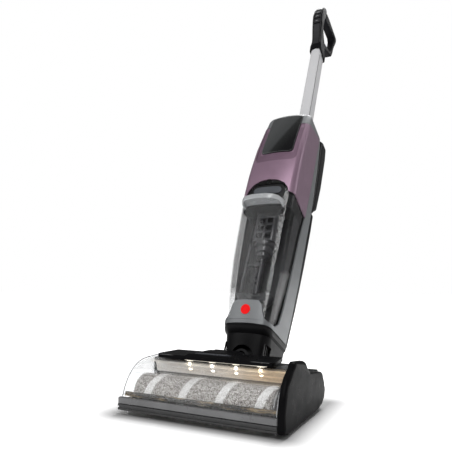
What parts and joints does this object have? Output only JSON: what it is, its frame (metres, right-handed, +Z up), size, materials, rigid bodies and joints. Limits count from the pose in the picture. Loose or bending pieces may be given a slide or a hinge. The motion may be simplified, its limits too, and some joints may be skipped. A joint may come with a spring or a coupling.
{
  "type": "upright wet floor cleaner",
  "caption": "Cordless upright floor washer: clear-windowed motor brush head, tilting slim body with removable dirty and clean water tanks, slim tube and closed-loop grip with keys.",
  "frame": {"origin": "centre of the machine's bounding box, at floor level, body leaning back at rest", "axes": "+X to the machine's drive side (viewer's right from the front), +Y from the brush head's front to the back, +Z up"},
  "size_m": [0.277, 0.8376, 1.0007],
  "materials": {
    "chassis_plastic": "fine textured black",
    "head_black": "satin black",
    "window": "clear polycarbonate",
    "led": "warm white lenses",
    "bumper": "dark grey moulding",
    "bumper_rubber": "black, ribbed",
    "roller_core": "satin tube",
    "roller_pile": "short dense pile with pale helical bands",
    "drive": "filled nylon",
    "belt": "toothed belt",
    "motor_can": "plated can",
    "sole_steel": "brushed",
    "pin_steel": "ground",
    "squeegee_rubber": "smooth",
    "wheel_rubber": "smooth tread",
    "wheel_hub": "moulded",
    "body_black": "satin black",
    "hose": "corrugated",
    "silver_grey": "metallic grey paint",
    "mauve": "metallic mauve paint",
    "display_gloss": "piano black",
    "inner_plastic": "plain dark moulding",
    "battery": "sleeved cells",
    "board": "solder mask",
    "motor_alloy": "cast can",
    "rear_tank": "dark tinted",
    "tank_cap": "moulded",
    "smoky_clear": "smoky clear polycarbonate",
    "lid_black": "satin black",
    "button_grey": "satin grey",
    "lip_grey": "smoky clear lip",
    "separator": "dark moulding",
    "badge_red": "plain red",
    "tube_grey": "light metallic grey",
    "grip_black": "soft touch black",
    "key_grey": "light grey"
  },
  "bodies": {
    "head": {"head_chassis": "chassis_plastic", "suction_duct": "inner_plastic", "light_bar": "head_black", "led_strip": "led", "drive_cap": "head_black", "front_bumper": "bumper", "bumper_strip": "bumper_rubber", "brush_motor": "motor_can", "drive_belt": "belt", "sole_plate": "sole_steel", "squeegee": "squeegee_rubber", "wheel_axle_left": "pin_steel", "wheel_axle_right": "pin_steel"},
    "window": {"brush_window": "window"},
    "brush": {"brush_core": "roller_core", "brush_sleeve": "roller_pile", "brush_pulley": "drive"},
    "motor_rotor": {"motor_pulley": "drive"},
    "wheel_left": {"wheel_tyre_left": "wheel_rubber", "wheel_hub_left": "wheel_hub"},
    "wheel_right": {"wheel_tyre_right": "wheel_rubber", "wheel_hub_right": "wheel_hub"},
    "neck": {"neck_knuckle": "body_black", "recline_pin": "pin_steel", "swivel_pin": "pin_steel", "neck_hose": "hose"},
    "body": {"lower_bucket": "body_black", "base_ring": "body_black", "silver_frame": "silver_grey", "inner_frame": "inner_plastic", "upper_housing": "mauve", "display_panel": "display_gloss", "top_cap": "silver_grey", "tube_socket": "body_black", "back_cover": "body_black", "battery_pack": "battery", "control_board": "board", "water_pump": "inner_plastic", "suction_motor": "motor_alloy", "handle_tube": "tube_grey", "grip_bar": "grip_black", "grip_pad": "button_grey", "grip_loop": "grip_black", "rear_hook": "key_grey"},
    "dirty_tank": {"dirty_tank": "smoky_clear", "tank_lid": "lid_black", "pour_lip": "lip_grey", "separator_cage": "separator", "separator_cone": "separator", "riser_pipes": "separator", "debris_strainer": "separator", "nose_plate": "silver_grey", "nose_badge": "badge_red"},
    "tank_button": {"release_button": "button_grey"},
    "clean_tank": {"clean_tank": "rear_tank", "clean_tank_cap": "tank_cap"},
    "power_key": {"power_button": "key_grey"},
    "boost_key": {"boost_button": "key_grey"},
    "spray_key": {"spray_button": "key_grey"},
    "mode_key": {"mode_button": "key_grey"}
  },
  "joints": [
    {"name": "window_pull", "type": "slide", "parent": "head", "child": "window", "axis": [0, -1, 0], "range_m": [0, 0.06]},
    {"name": "brush_spin", "type": "hinge", "parent": "head", "child": "brush", "pos_m": [-0.0015, -0.37681, 0.0297], "axis": [1, 0, 0], "continuous": true},
    {"name": "motor_spin", "type": "hinge", "parent": "head", "child": "motor_rotor", "pos_m": [-0.0015, -0.31181, 0.033], "axis": [1, 0, 0], "continuous": true},
    {"name": "wheel_left_spin", "type": "hinge", "parent": "head", "child": "wheel_left", "pos_m": [-0.0685, -0.16781, 0.025], "axis": [1, 0, 0], "continuous": true},
    {"name": "wheel_right_spin", "type": "hinge", "parent": "head", "child": "wheel_right", "pos_m": [0.0655, -0.16781, 0.025], "axis": [1, 0, 0], "continuous": true},
    {"name": "recline", "type": "hinge", "parent": "head", "child": "neck", "pos_m": [0.0007, -0.21781, 0.035], "axis": [1, 0, 0], "range_deg": [-32.5, 27]},
    {"name": "swivel", "type": "hinge", "parent": "neck", "child": "body", "pos_m": [0.0007, -0.21088, 0.04831], "axis": [0, 0.887, -0.4617], "range_deg": [-12, 12]},
    {"name": "dirty_tank_pull", "type": "slide", "parent": "body", "child": "dirty_tank", "axis": [0, -0.887, 0.4617], "range_m": [0, 0.1]},
    {"name": "tank_release", "type": "slide", "parent": "dirty_tank", "child": "tank_button", "axis": [0, 0.887, -0.4617], "range_m": [0, 0.002], "stiffness_N_per_m": 600},
    {"name": "clean_tank_pull", "type": "slide", "parent": "body", "child": "clean_tank", "axis": [0, 0.887, -0.4617], "range_m": [0, 0.08]},
    {"name": "power_press", "type": "slide", "parent": "body", "child": "power_key", "axis": [0, 0.887, -0.4617], "range_m": [0, 0.0015], "stiffness_N_per_m": 300},
    {"name": "boost_press", "type": "slide", "parent": "body", "child": "boost_key", "axis": [0, 0.887, -0.4617], "range_m": [0, 0.0015], "stiffness_N_per_m": 300},
    {"name": "spray_press", "type": "slide", "parent": "body", "child": "spray_key", "axis": [0, 0.887, -0.4617], "range_m": [0, 0.0015], "stiffness_N_per_m": 300},
    {"name": "mode_press", "type": "slide", "parent": "body", "child": "mode_key", "axis": [0, 0.887, -0.4617], "range_m": [0, 0.0015], "stiffness_N_per_m": 300}
  ],
  "couplings": [
    {"joint": "motor_spin", "follows": "brush_spin", "ratio": 1.75}
  ]
}
